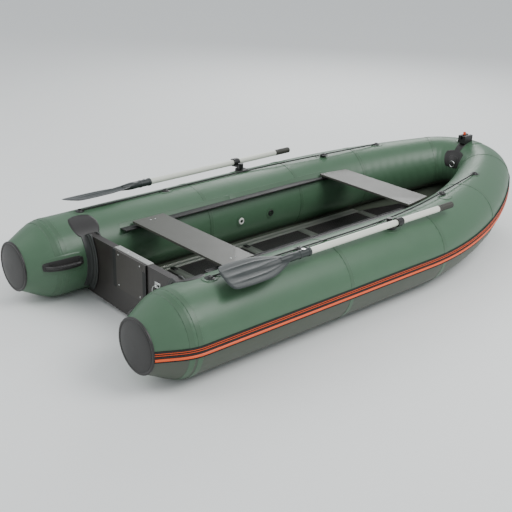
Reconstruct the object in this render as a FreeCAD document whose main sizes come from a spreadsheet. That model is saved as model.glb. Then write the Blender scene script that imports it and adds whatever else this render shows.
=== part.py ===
"""Keeled inflatable boat with a plywood transom, benches on rails and two stowed oars.

Frame: +X to the bow, +Y to port, +Z up. The origin is at the middle of the length and beam, on the ground.
Lengths are millimetres.
"""
import FreeCAD, Part
import math
import os

from FreeCAD import Placement, Rotation, Vector

doc = FreeCAD.newDocument("inflatable_boat")
sheet = doc.addObject("Spreadsheet::Sheet", "Sheet")

DIMENSIONS = [
    # overall sizes and buoyancy tube
    ("overall_length", 3330, "stern cap to strake at the bow"),
    ("tube_offset", 570, "centre plane to the axis of a side tube"),
    ("tube_radius", 218, "side tube, radius"),
    ("bow_radius", 158, "bow tube at the stem, radius"),
    ("cap_radius", 132, "small end of a stern cone, radius"),
    ("cone_length", 161, "stern cone, length"),
    ("cap_dome", 18, "bulge of a stern cap"),
    ("cap_flange", 5, "flange of a stern cap, width past the cone"),
    ("transom_inset", 356, "stern cone end to the transom's aft face"),
    ("shoulder_angle", 30.6, "turn of the long bow bend, degrees"),
    ("stem_bend_radius", 281, "tight bend at the stem, radius of the axis"),
    ("bow_rise", 135, "rise of the tube's axis at the stem"),
    # strake
    ("strake_height", 58, "rub strake, height"),
    ("strake_depth", 8, "rub strake, depth"),
    ("strake_drop", 4, "rub strake, middle below the tube's axis"),
    # bottom
    ("keel_clearance", 16, "keel line above the ground"),
    ("skin_thickness", 3, "bottom fabric"),
    ("skin_angle", 48, "where the bottom meets the tube, degrees under its axis"),
    ("skin_turn", 30, "more of that angle at the stem, degrees"),
    # transom
    ("transom_height", 372, "top edge above the ground"),
    ("transom_thickness", 40, "transom board"),
    ("transom_keel", 24, "lowest point of the transom above the ground"),
    ("transom_seat", 10, "board edge to the tube, gap that the holder's root fills"),
    ("holder_depth", 52, "transom holder, height of its lips on the tube"),
    ("holder_lip", 8, "transom holder, thickness of a lip"),
    ("holder_flange", 120, "transom holder, width of its base on the tube"),
    ("pad_width", 236, "motor pad, width"),
    ("pad_height", 210, "motor pad, height"),
    ("pad_depth", 8, "motor pad, thickness"),
    ("pad_strip", 30, "black strip beside the motor pad, width"),
    ("plate_width", 300, "aluminium clamp plate, width"),
    ("plate_height", 180, "aluminium clamp plate, height of its inner leaf"),
    ("plate_gauge", 2.5, "aluminium clamp plate, thickness"),
    # floor
    ("floor_height", 83, "top of the floor boards above the ground"),
    ("board_thickness", 12, "floor boards"),
    ("floor_half_width", 273, "centre plane to a stringer"),
    ("stringer_width", 62, "side stringer"),
    ("profile_wall", 2.5, "wall of the floor profiles"),
    ("board_entry", 14, "depth of a board's edge inside a profile"),
    ("profile_width", 60, "cross profile"),
    ("joint_one", 472, "transom's aft face to the first cross profile"),
    ("joint_two", 1018, "transom's aft face to the second cross profile"),
    ("joint_three", 1480, "transom's aft face to the third cross profile"),
    ("joint_four", 2029, "transom's aft face to the fourth cross profile"),
    ("floor_end", 2440, "transom's aft face to the front of the floor"),
    ("bow_board_tilt", 6, "forward floor board, rise to the bow, degrees"),
    ("fit_clearance", 0.3, "gap between a piece and its seat"),
    # benches and rails
    ("bench_width", 208, "bench board, fore and aft"),
    ("bench_thickness", 12, "bench board"),
    ("bench_height", 381, "top of the benches above the ground"),
    ("aft_bench_half", 392, "aft bench, half its length"),
    ("fore_bench_half", 374, "forward bench, half its aft edge"),
    ("fore_bench_taper", 32, "forward bench, half its forward edge is this much less"),
    ("aft_bench_place", 286, "transom's aft face to the aft bench"),
    ("fore_bench_place", 1733, "transom's aft face to the forward bench"),
    ("rail_line", 347, "centre plane to the bead of a bench rail"),
    ("rail_height", 354, "bead of a bench rail above the ground"),
    ("rail_start", 208, "transom's aft face to the rail"),
    ("rail_end", 1806, "transom's aft face to the end of the rail"),
    ("bead_radius", 5, "bead of a bench rail"),
    ("web_thickness", 3, "web of a bench rail"),
    ("slider_length", 50, "bench slider"),
    ("slider_width", 24, "bench slider, across"),
    ("slider_clearance", 0.6, "bench slider to the bead"),
    # oars and locks
    ("lock_place", 1266, "transom's aft face to an oarlock's pin"),
    ("pin_outboard", 50, "tube's axis to an oarlock's pin"),
    ("oar_outboard", 110, "tube's axis to a stowed oar"),
    ("oar_lift", 34, "tube's crest to the axis of an oar"),
    ("shaft_radius", 17.5, "oar shaft"),
    ("grip_radius", 18.5, "oar grip"),
    ("grip_length", 125, "oar grip"),
    ("oar_length", 1690, "oar, end to end"),
    ("port_inboard", 470, "port lock's pin to the end of the grip"),
    ("starboard_inboard", 462, "starboard lock's pin to the end of the grip"),
    ("blade_length", 425, "oar blade"),
    ("blade_width", 196, "oar blade at its widest"),
    ("blade_thickness", 8, "oar blade"),
    ("blade_roll", 12, "blade, outboard edge down, degrees"),
    ("socket_length", 138, "oar blade socket"),
    ("socket_radius", 21, "oar blade socket"),
    ("ring_length", 34, "oarlock ring, along the oar"),
    ("ring_radius", 25, "oarlock ring"),
    ("pin_radius", 7, "oarlock pin"),
    ("pin_clearance", 0.4, "oarlock pin in its base"),
    ("base_radius", 36, "oarlock base"),
    ("base_height", 4, "oarlock base above the tube's crest"),
    # grab lines
    ("line_radius", 4, "grab line"),
    ("line_lift", 5.5, "tube's crest to the grab line's axis"),
    ("line_holder_radius", 15, "line holder"),
    ("line_holder_height", 12, "line holder above the tube's crest"),
    # fittings
    ("valve_radius", 20, "air valve"),
    ("valve_height", 7, "air valve, how far it stands out"),
    ("handle_length", 225, "carrying handle's patch"),
    ("handle_place", 284, "transom's aft face back to the end of a carrying handle"),
    ("handle_grip", 17, "carrying handle's bar, thickness"),
    ("handle_gap", 30, "finger room under the bar"),
    ("patch_thickness", 3, "reinforcing patches"),
    ("tow_ring_radius", 31, "towing ring, to the middle of its wire"),
    ("tow_ring_wire", 3.5, "towing ring, radius of its wire"),
    ("tow_ring_place", 238, "centre plane to a transom ring"),
    ("anchor_width", 56, "anchor block"),
    ("anchor_length", 84, "anchor block"),
    ("anchor_height", 46, "anchor block"),
]
for row, (alias, value, note) in enumerate(DIMENSIONS, 1):
    sheet.set(f"A{row}", note)
    sheet.set(f"B{row}", str(value))
    sheet.setAlias(f"B{row}", alias)
doc.recompute()


def size(alias):
    """A driving dimension as a number."""
    return float(sheet.get(alias))


# expressions that several pieces share
STERN = "(-Sheet.overall_length / 2 + Sheet.cap_dome)"
TRANSOM = f"({STERN} + Sheet.transom_inset)"
SIDES = {"port": 1, "starboard": -1}
NODES = []


def node(obj, name):
    """Give a finished sub-part the label that names its file."""
    obj.Label = name
    NODES.append(obj)
    return obj


def bind(obj, **values):
    """Bind properties to expressions; x, y and z bind the placement."""
    for key, text in values.items():
        if key in "xyz":
            key = f"Placement.Base.{key}"
        obj.setExpression(key, str(text))
    return obj


def box(name, length, width, height, x, y, z):
    """A box whose sizes and corner are expressions."""
    obj = doc.addObject("Part::Box", name)
    return bind(obj, Length=length, Width=width, Height=height, x=x, y=y, z=z)


AXES = {"x": Rotation(Vector(0, 1, 0), 90), "y": Rotation(Vector(1, 0, 0), -90), "z": Rotation()}


def cylinder(name, radius, height, x, y, z, axis="z"):
    """A cylinder along +X, +Y or +Z whose sizes and start are expressions."""
    obj = doc.addObject("Part::Cylinder", name)
    obj.Placement = Placement(Vector(), AXES[axis])
    return bind(obj, Radius=radius, Height=height, x=x, y=y, z=z)


def cut(name, base, tool):
    """The base without the tool."""
    obj = doc.addObject("Part::Cut", name)
    obj.Base = base
    obj.Tool = tool
    return obj


def fuse(name, *shapes):
    """Shapes of one material that are made in one piece."""
    obj = doc.addObject("Part::MultiFuse", name)
    obj.Shapes = list(shapes)
    return obj


def solid(name, shape):
    """A sub-part whose shape is worked out here from the sheet."""
    obj = doc.addObject("Part::Feature", name)
    obj.Shape = shape
    return node(obj, name)


def plate(name, plane, points, thickness, x="0", y="0", z="0"):
    """A flat board: a sketched outline, each corner bound to the sheet, padded to its thickness."""
    body = doc.addObject("PartDesign::Body", name)
    sketch = body.newObject("Sketcher::SketchObject", f"{name}_outline")
    origin = next(f for f in body.Origin.OriginFeatures if f.Role == plane)
    sketch.AttachmentSupport = [(origin, "")]
    sketch.MapMode = "FlatFace"
    doc.recompute()
    numbers = [tuple(float(sheet.evalExpression(text)) for text in point) for point in points]
    count = len(points)
    for index in range(count):
        start = Vector(*numbers[index], 0)
        end = Vector(*numbers[(index + 1) % count], 0)
        sketch.addGeometry(Part.LineSegment(start, end))
    import Sketcher
    for index in range(count):
        sketch.addConstraint(Sketcher.Constraint("Coincident", index, 2, (index + 1) % count, 1))
    for index, (first, second) in enumerate(points):
        for kind, number, text in (("DistanceX", numbers[index][0], first), ("DistanceY", numbers[index][1], second)):
            place = sketch.addConstraint(Sketcher.Constraint(kind, -1, 1, index, 1, number))
            sketch.setExpression(f"Constraints[{place}]", text)
    pad = body.newObject("PartDesign::Pad", f"{name}_pad")
    pad.Profile = sketch
    pad.setExpression("Length", thickness)
    bind(body, x=x, y=y, z=z)
    return body


# ---- the line of the buoyancy tube -------------------------------------------------------------
half_length = size("overall_length") / 2
stern = -half_length + size("cap_dome")
transom = stern + size("transom_inset")
radius = size("tube_radius")
offset = size("tube_offset")
shoulder = math.radians(size("shoulder_angle"))
stem_bend = size("stem_bend_radius")
stem_x = half_length - size("strake_depth") - size("bow_radius")
long_bend = (offset - stem_bend * math.cos(shoulder)) / (1 - math.cos(shoulder))
bend_start = stem_x - long_bend * math.sin(shoulder) - stem_bend * (1 - math.sin(shoulder))
cone_end = stern + size("cone_length")
LONG_STEPS = 7
STEM_STEPS = 8
STRAIGHT_LEAD = 120
RISE_POWER = 1.9


def station(x, y, heading):
    """One place on the port half of the tube's axis: centre, outward normal, tube radius."""
    along = max(0.0, (x - bend_start) / (stem_x - bend_start))
    rise = size("bow_rise") * along ** RISE_POWER
    ring = radius + (size("bow_radius") - radius) * along ** 2
    if x < cone_end:
        ring = size("cap_radius") + (radius - size("cap_radius")) * (x - stern) / size("cone_length")
    slope = 0.0
    if along > 0:
        slope = size("bow_rise") * RISE_POWER * along ** (RISE_POWER - 1) / (stem_x - bend_start) * math.cos(heading)
    centre = Vector(x, y, radius + rise)
    tangent = Vector(math.cos(heading), -math.sin(heading), slope).normalize()
    outward = Vector(math.sin(heading), math.cos(heading), 0)
    return centre, tangent, outward, ring


def bow_stations():
    """Stations of the port half of the bow, from the start of the bend to the stem."""
    places = [(bend_start - STRAIGHT_LEAD * share, offset, 0.0) for share in (1, 0.5)]
    for step in range(LONG_STEPS + 1):
        turn = shoulder * step / LONG_STEPS
        places.append((bend_start + long_bend * math.sin(turn), offset - long_bend * (1 - math.cos(turn)), turn))
    knee_x = places[-1][0]
    for step in range(1, STEM_STEPS + 1):
        turn = shoulder + (math.pi / 2 - shoulder) * step / STEM_STEPS
        places.append((knee_x + stem_bend * (math.sin(turn) - math.sin(shoulder)),
                       stem_bend * math.cos(turn), turn))
    return [station(*place) for place in places]


def mirrored(stations):
    """The same stations on the starboard half, from the stem aft."""
    result = []
    for centre, tangent, outward, ring in reversed(stations):
        result.append((Vector(centre.x, -centre.y, centre.z), Vector(-tangent.x, tangent.y, -tangent.z),
                       Vector(outward.x, -outward.y, 0), ring))
    return result


def on_ring(place, angle, extra=0.0):
    """A point on a station's ring: 0 degrees is outboard, 90 up, 180 inboard."""
    centre, tangent, outward, ring = place
    up = outward.cross(tangent)
    if up.z < 0:
        up = up * -1
    turn = math.radians(angle)
    return centre + outward * ((ring + extra) * math.cos(turn)) + up * ((ring + extra) * math.sin(turn))


bow_half = bow_stations()
bow_start = bow_half[0][0].x
bow_line = bow_half + mirrored(bow_half)[1:]
side_line = [station(stern, offset, 0.0), station(cone_end, offset, 0.0)]
hull_line = side_line + bow_line + mirrored(side_line)


def loft(sections, ruled):
    """A closed solid through closed outlines."""
    shape = Part.makeLoft(sections, True, ruled)
    if shape.Volume < 0:
        shape.reverse()
    return shape


def outline(points):
    """A closed wire through corners."""
    return Part.makePolygon(list(points) + [points[0]])


def sector(side, x_from, x_to, angle_from, angle_to, inner, outer):
    """A piece of a pipe about a side tube's axis; angles run from outboard over the top to inboard."""
    centre = Vector(0, SIDES[side] * offset, radius)
    start = math.radians(angle_from)
    out = Vector(0, SIDES[side] * math.cos(start), math.sin(start))
    corners = [centre + out * r + Vector(x, 0, 0) for x, r in
               ((x_from, inner), (x_to, inner), (x_to, outer), (x_from, outer))]
    turn = (angle_to - angle_from) * SIDES[side]
    return Part.Face(outline(corners)).revolve(centre, Vector(1, 0, 0), turn)


def chain(points, thickness):
    """A round line along straight runs joined by tangent arcs, as large as the runs allow."""
    edges = []
    last = points[0]
    for before, corner, after in zip(points, points[1:], points[2:]):
        back = (before - corner).normalize()
        ahead = (after - corner).normalize()
        reach = 0.45 * min(before.distanceToPoint(corner), after.distanceToPoint(corner))
        turn = math.pi - back.getAngle(ahead)
        bend = reach / math.tan(turn / 2)
        middle = (back + ahead).normalize()
        apex = corner + middle * (math.hypot(reach, bend) - bend)
        start = corner + back * reach
        edges.append(Part.LineSegment(last, start).toShape())
        edges.append(Part.Arc(start, apex, corner + ahead * reach).toShape())
        last = corner + ahead * reach
    edges.append(Part.LineSegment(last, points[-1]).toShape())
    path = Part.Wire(edges)
    section = Part.Wire(Part.makeCircle(thickness, points[0], points[1] - points[0]))
    return path.makePipeShell([section], True, True)


# ---- buoyancy tubes and stern caps -------------------------------------------------------------
for side, sign in SIDES.items():
    cone = doc.addObject("Part::Cone", f"{side}_cone")
    cone.Placement = Placement(Vector(), AXES["x"])
    bind(cone, Radius1="Sheet.cap_radius", Radius2="Sheet.tube_radius", Height="Sheet.cone_length",
         x=STERN, y=f"{sign} * Sheet.tube_offset", z="Sheet.tube_radius")
    barrel = cylinder(f"{side}_barrel", "Sheet.tube_radius", f"{bow_start} - {STERN} - Sheet.cone_length",
                      f"{STERN} + Sheet.cone_length", f"{sign} * Sheet.tube_offset", "Sheet.tube_radius", "x")
    node(fuse(f"{side}_tube", cone, barrel), f"{side}_tube")
    flange = cylinder(f"{side}_cap_flange", "Sheet.cap_radius + Sheet.cap_flange", "Sheet.cap_dome / 3",
                      f"{STERN} - Sheet.cap_dome / 3", f"{sign} * Sheet.tube_offset", "Sheet.tube_radius", "x")
    dome = doc.addObject("Part::Cone", f"{side}_cap_dome")
    dome.Placement = Placement(Vector(), AXES["x"])
    bind(dome, Radius1="Sheet.cap_radius * 0.7", Radius2="Sheet.cap_radius", Height="Sheet.cap_dome * 2 / 3",
         x="-Sheet.overall_length / 2", y=f"{sign} * Sheet.tube_offset", z="Sheet.tube_radius")
    node(fuse(f"{side}_end_cap", flange, dome), f"{side}_end_cap")



def bow_shape(extra):
    """The bow part of the tube, larger by the extra radius."""
    rings = [Part.Wire(Part.Circle(centre, tangent, ring + extra).toShape())
             for centre, tangent, outward, ring in bow_line]
    return loft(rings, False)


solid("bow_tube", bow_shape(0))
bow_room = bow_shape(size("fit_clearance"))

# ---- rub strake and bottom ---------------------------------------------------------------------
strake_sections = []
for place in hull_line:
    tall = math.degrees(size("strake_height") / 2 / place[3])
    low = -math.degrees(size("strake_drop") / place[3])
    inner = [on_ring(place, low + tall * share, 0.5) for share in (-1, -0.33, 0.33, 1)]
    outer = [on_ring(place, low + tall * share, size("strake_depth") * lean)
             for share, lean in ((0.8, 1), (0.3, 1), (-0.3, 1), (-0.8, 1))]
    strake_sections.append(outline(inner + outer))
solid("rub_strake", loft(strake_sections, True).cut(bow_room))

skin_sections = []
keel_line = size("keel_clearance")
skin = size("skin_thickness")
skin_start = transom + size("transom_thickness") + size("holder_lip") + 2 * size("fit_clearance")
bottom_line = [station(skin_start, offset, 0.0)] + bow_half[:-2]
for place in bottom_line:
    along = max(0.0, (place[0].x - bend_start) / (stem_x - bend_start))
    edge = on_ring(place, -180 + size("skin_angle") + size("skin_turn") * along)
    keel = Vector(edge.x, 0, keel_line + (bow_half[-2][0].z - size("bow_radius") - keel_line) * along ** 3)
    low_edge = edge - Vector(0, 0, skin)
    skin_sections.append(outline([low_edge, keel, Vector(edge.x, -edge.y, edge.z - skin),
                                  Vector(edge.x, -edge.y, edge.z), keel + Vector(0, 0, skin), edge]))
solid("bottom_skin", loft(skin_sections, True))

floor_bottom = "(Sheet.floor_height - Sheet.board_thickness)"
keel_bed = "(Sheet.keel_clearance + Sheet.skin_thickness + Sheet.fit_clearance)"
keel_roof = f"({floor_bottom} - Sheet.profile_wall - 2 * Sheet.fit_clearance)"
node(cylinder("keel_tube", f"({keel_roof} - {keel_bed}) / 2",
              f"{bend_start} - ({TRANSOM} + Sheet.transom_thickness)", f"{TRANSOM} + Sheet.transom_thickness",
              "0", f"({keel_roof} + {keel_bed}) / 2", "x"), "keel_tube")

# ---- transom -----------------------------------------------------------------------------------
top = "Sheet.transom_height"
low_y = "(Sheet.tube_offset - (Sheet.tube_radius + Sheet.transom_seat) * 0.6)"
low_z = "(Sheet.tube_radius - (Sheet.tube_radius + Sheet.transom_seat) * 0.78)"
board = plate("transom_board", "YZ_Plane",
              [("-Sheet.tube_offset", top), ("Sheet.tube_offset", top), ("Sheet.tube_offset", low_z),
               (low_y, low_z), ("0", "Sheet.transom_keel"), (f"-{low_y}", low_z), ("-Sheet.tube_offset", low_z)],
              "Sheet.transom_thickness", x=TRANSOM)
for side, sign in SIDES.items():
    bed = cylinder(f"{side}_transom_bed", "Sheet.tube_radius + Sheet.transom_seat", "Sheet.transom_thickness * 3",
                   f"{TRANSOM} - Sheet.transom_thickness", f"{sign} * Sheet.tube_offset", "Sheet.tube_radius", "x")
    board = cut(f"transom_cut_{side}", board, bed)
node(board, "transom")

board_thickness = size("transom_thickness")
lip = size("holder_lip")
gap = size("fit_clearance")
lip_top = radius + size("holder_depth")
middle = transom + board_thickness / 2
HOLDER_FROM, HOLDER_TO = 138, 221
for side in SIDES:
    base = sector(side, middle - size("holder_flange") / 2, middle + size("holder_flange") / 2,
                  HOLDER_FROM, HOLDER_TO, radius + gap, radius + size("transom_seat") - gap)
    aft_lip = sector(side, transom - gap - lip, transom - gap, HOLDER_FROM, HOLDER_TO, radius + gap, lip_top)
    fore_lip = sector(side, transom + board_thickness + gap, transom + board_thickness + gap + lip,
                      HOLDER_FROM, HOLDER_TO, radius + gap, lip_top)
    solid(f"{side}_transom_holder", base.fuse([aft_lip, fore_lip]).removeSplitter())

PATCH_FROM, PATCH_TO = 100, 136
patch_length = 150
patches = [sector(side, middle - patch_length / 2, middle + patch_length / 2, PATCH_FROM, PATCH_TO,
                  radius + gap, radius + size("patch_thickness")) for side in SIDES]
solid("transom_patches", Part.makeCompound(patches))

node(box("motor_pad", "Sheet.pad_depth", "Sheet.pad_width", "Sheet.pad_height", f"{TRANSOM} - Sheet.pad_depth",
         "-Sheet.pad_width / 2", "Sheet.transom_height - Sheet.pad_height"), "motor_pad")
strips = []
for side, sign in SIDES.items():
    strips.append(box(f"{side}_strip", "Sheet.pad_depth", "Sheet.pad_strip", "Sheet.pad_height",
                      f"{TRANSOM} - Sheet.pad_depth",
                      f"{sign} * (Sheet.pad_width + Sheet.pad_strip) / 2 - Sheet.pad_strip / 2",
                      "Sheet.transom_height - Sheet.pad_height"))
pair = doc.addObject("Part::Compound", "pad_strips")
pair.Links = strips
node(pair, "pad_strips")
plate_top = box("plate_top", "Sheet.transom_thickness + Sheet.plate_gauge - 6", "Sheet.plate_width",
                "Sheet.plate_gauge", f"{TRANSOM} + 6", "-Sheet.plate_width / 2", "Sheet.transom_height")
plate_leaf = box("plate_leaf", "Sheet.plate_gauge", "Sheet.plate_width", "Sheet.plate_height",
                 f"{TRANSOM} + Sheet.transom_thickness", "-Sheet.plate_width / 2",
                 "Sheet.transom_height - Sheet.plate_height + Sheet.plate_gauge")
node(fuse("clamp_plate", plate_top, plate_leaf), "clamp_plate")

ring_height = size("transom_height") - 108
wire = size("tow_ring_wire")
eye = Vector(transom - 8, -size("tow_ring_place"), ring_height + size("tow_ring_radius"))
hoop = Part.makeTorus(size("tow_ring_radius"), wire, eye - Vector(2, 0, size("tow_ring_radius")), Vector(1, 0, 0))
lug = Part.makeBox(10 - gap, 16, 22, eye + Vector(-2, -8, -11))
solid("transom_ring", lug.fuse(hoop))

# ---- floor -------------------------------------------------------------------------------------
joints = ["Sheet.joint_one", "Sheet.joint_two", "Sheet.joint_three", "Sheet.joint_four"]
half_web = "Sheet.profile_wall / 2"
starts = [f"{TRANSOM} + Sheet.transom_thickness + Sheet.plate_gauge + Sheet.holder_lip + 2 * Sheet.fit_clearance"]
starts += [f"{TRANSOM} + {joint} + {half_web} + Sheet.fit_clearance" for joint in joints[:3]]
starts.append(f"{TRANSOM} + Sheet.joint_four + Sheet.profile_width / 2 + Sheet.fit_clearance"
              " + Sheet.board_thickness * sin(Sheet.bow_board_tilt * 1deg)")
ends = [f"{TRANSOM} + {joint} - {half_web} - Sheet.fit_clearance" for joint in joints]
board_half = "(Sheet.floor_half_width + Sheet.board_entry)"
for index in range(4):
    node(box(f"floor_board_{index + 1}", f"({ends[index]}) - ({starts[index]})", f"2 * {board_half}",
             "Sheet.board_thickness", starts[index], f"-{board_half}", floor_bottom), f"floor_board_{index + 1}")
bow_board_length = f"({TRANSOM} + Sheet.floor_end - ({starts[4]}))"
nose = "Sheet.floor_half_width * 0.42"
bow_board = plate("floor_board_5", "XY_Plane",
                  [("0", f"-{board_half} * 0.98"), (bow_board_length, f"-{nose}"), (bow_board_length, nose),
                   ("0", f"{board_half} * 0.98")],
                  "Sheet.board_thickness")
bow_board.Placement = Placement(Vector(), Rotation(Vector(0, 1, 0), -size("bow_board_tilt")))
bind(bow_board, x=starts[4], z=floor_bottom)
node(bow_board, "floor_board_5")

slot_height = "(Sheet.board_thickness + 2 * Sheet.fit_clearance)"
profile_height = f"({slot_height} + 2 * Sheet.profile_wall)"
profile_foot = f"({floor_bottom} - Sheet.fit_clearance - Sheet.profile_wall)"
for index, joint in enumerate(joints, 1):
    width = "2 * (Sheet.floor_half_width - Sheet.fit_clearance)"
    bar = box(f"profile_bar_{index}", "Sheet.profile_width", width, profile_height,
              f"{TRANSOM} + {joint} - Sheet.profile_width / 2", f"-({width}) / 2", profile_foot)
    slot_length = "(Sheet.profile_width - Sheet.profile_wall) / 2 + 1"
    slots = [box(f"profile_slot_{index}_{place}", slot_length, f"{width} + 2", slot_height,
                 f"{TRANSOM} + {joint} + {shift}", f"-({width}) / 2 - 1", f"{floor_bottom} - Sheet.fit_clearance")
             for place, shift in (("aft", f"0 - {half_web} - ({slot_length})"), ("fore", half_web))
             if place == "aft" or index < 4]
    room = fuse(f"profile_slots_{index}", *slots) if len(slots) > 1 else slots[0]
    node(cut(f"cross_profile_{index}", bar, room), f"cross_profile_{index}")
for side, sign in SIDES.items():
    length = f"(Sheet.joint_four - Sheet.transom_thickness - Sheet.plate_gauge - Sheet.holder_flange / 2)"
    start = f"{TRANSOM} + Sheet.transom_thickness + Sheet.plate_gauge + Sheet.holder_flange / 2"
    low = f"{sign} * (Sheet.floor_half_width + Sheet.stringer_width / 2)"
    bar = box(f"{side}_stringer_bar", length, "Sheet.stringer_width", profile_height, start,
              f"{low} - Sheet.stringer_width / 2", profile_foot)
    entry = "(Sheet.board_entry + Sheet.fit_clearance)"
    slot = box(f"{side}_stringer_slot", f"{length} + 2", f"{entry} + 1", slot_height, f"{start} - 1",
               f"{sign} * (Sheet.floor_half_width + ({entry} - 1) / 2) - ({entry} + 1) / 2",
               f"{floor_bottom} - Sheet.fit_clearance")
    node(cut(f"{side}_stringer", bar, slot), f"{side}_stringer")

# ---- bench rails and benches -------------------------------------------------------------------
web_room = "(Sheet.rail_height - Sheet.web_thickness / 2 - Sheet.tube_radius)"
web_width = (f"(Sheet.tube_offset - sqrt((Sheet.tube_radius + Sheet.fit_clearance)^2 - {web_room}^2)"
             " - Sheet.rail_line)")
for side, sign in SIDES.items():
    web = box(f"{side}_rail_web", "Sheet.rail_end - Sheet.rail_start", web_width, "Sheet.web_thickness",
              f"{TRANSOM} + Sheet.rail_start", f"{sign} * (Sheet.rail_line + {web_width} / 2) - {web_width} / 2",
              "Sheet.rail_height - Sheet.web_thickness / 2")
    bead = cylinder(f"{side}_rail_bead", "Sheet.bead_radius", "Sheet.rail_end - Sheet.rail_start",
                    f"{TRANSOM} + Sheet.rail_start", f"{sign} * Sheet.rail_line", "Sheet.rail_height", "x")
    bow_bed = doc.addObject("Part::Feature", f"{side}_rail_bed")
    bow_bed.Shape = bow_room
    node(fuse(f"{side}_rail", cut(f"{side}_rail_flap", web, bow_bed), bead), f"{side}_bench_rail")

board_z = "Sheet.bench_height - Sheet.bench_thickness"
node(box("aft_bench", "Sheet.bench_width", "2 * Sheet.aft_bench_half", "Sheet.bench_thickness",
         f"{TRANSOM} + Sheet.aft_bench_place", "-Sheet.aft_bench_half", board_z), "aft_bench")
short = "(Sheet.fore_bench_half - Sheet.fore_bench_taper)"
node(plate("forward_bench", "XY_Plane",
           [("0", "-Sheet.fore_bench_half"), ("Sheet.bench_width", f"-{short}"), ("Sheet.bench_width", short),
            ("0", "Sheet.fore_bench_half")], "Sheet.bench_thickness",
           x=f"{TRANSOM} + Sheet.fore_bench_place", z=board_z), "forward_bench")
slider_foot = "(Sheet.rail_height - Sheet.bead_radius - 4)"
for bench, place in (("aft", "Sheet.aft_bench_place + (Sheet.bench_width - Sheet.slider_length) / 2"),
                     ("forward", "Sheet.fore_bench_place + 4")):
    sliders = []
    for side, sign in SIDES.items():
        block = box(f"{bench}_{side}_block", "Sheet.slider_length", "Sheet.slider_width", f"{board_z} - {slider_foot}",
                    f"{TRANSOM} + {place}", f"{sign} * Sheet.rail_line - Sheet.slider_width / 2", slider_foot)
        bore = cylinder(f"{bench}_{side}_bore", "Sheet.bead_radius + Sheet.slider_clearance",
                        "Sheet.slider_length + 2", f"{TRANSOM} + {place} - 1", f"{sign} * Sheet.rail_line",
                        "Sheet.rail_height", "x")
        mouth = box(f"{bench}_{side}_mouth", "Sheet.slider_length + 2", "Sheet.slider_width",
                    "Sheet.web_thickness + 2 * Sheet.slider_clearance", f"{TRANSOM} + {place} - 1",
                    f"{sign} * (Sheet.rail_line + Sheet.slider_width / 2) - Sheet.slider_width / 2",
                    "Sheet.rail_height - Sheet.web_thickness / 2 - Sheet.slider_clearance")
        sliders.append(cut(f"{bench}_{side}_slider", block, fuse(f"{bench}_{side}_groove", bore, mouth)))
    pair = doc.addObject("Part::Compound", f"{bench}_bench_sliders")
    pair.Links = sliders
    node(pair, f"{bench}_bench_sliders")

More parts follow.
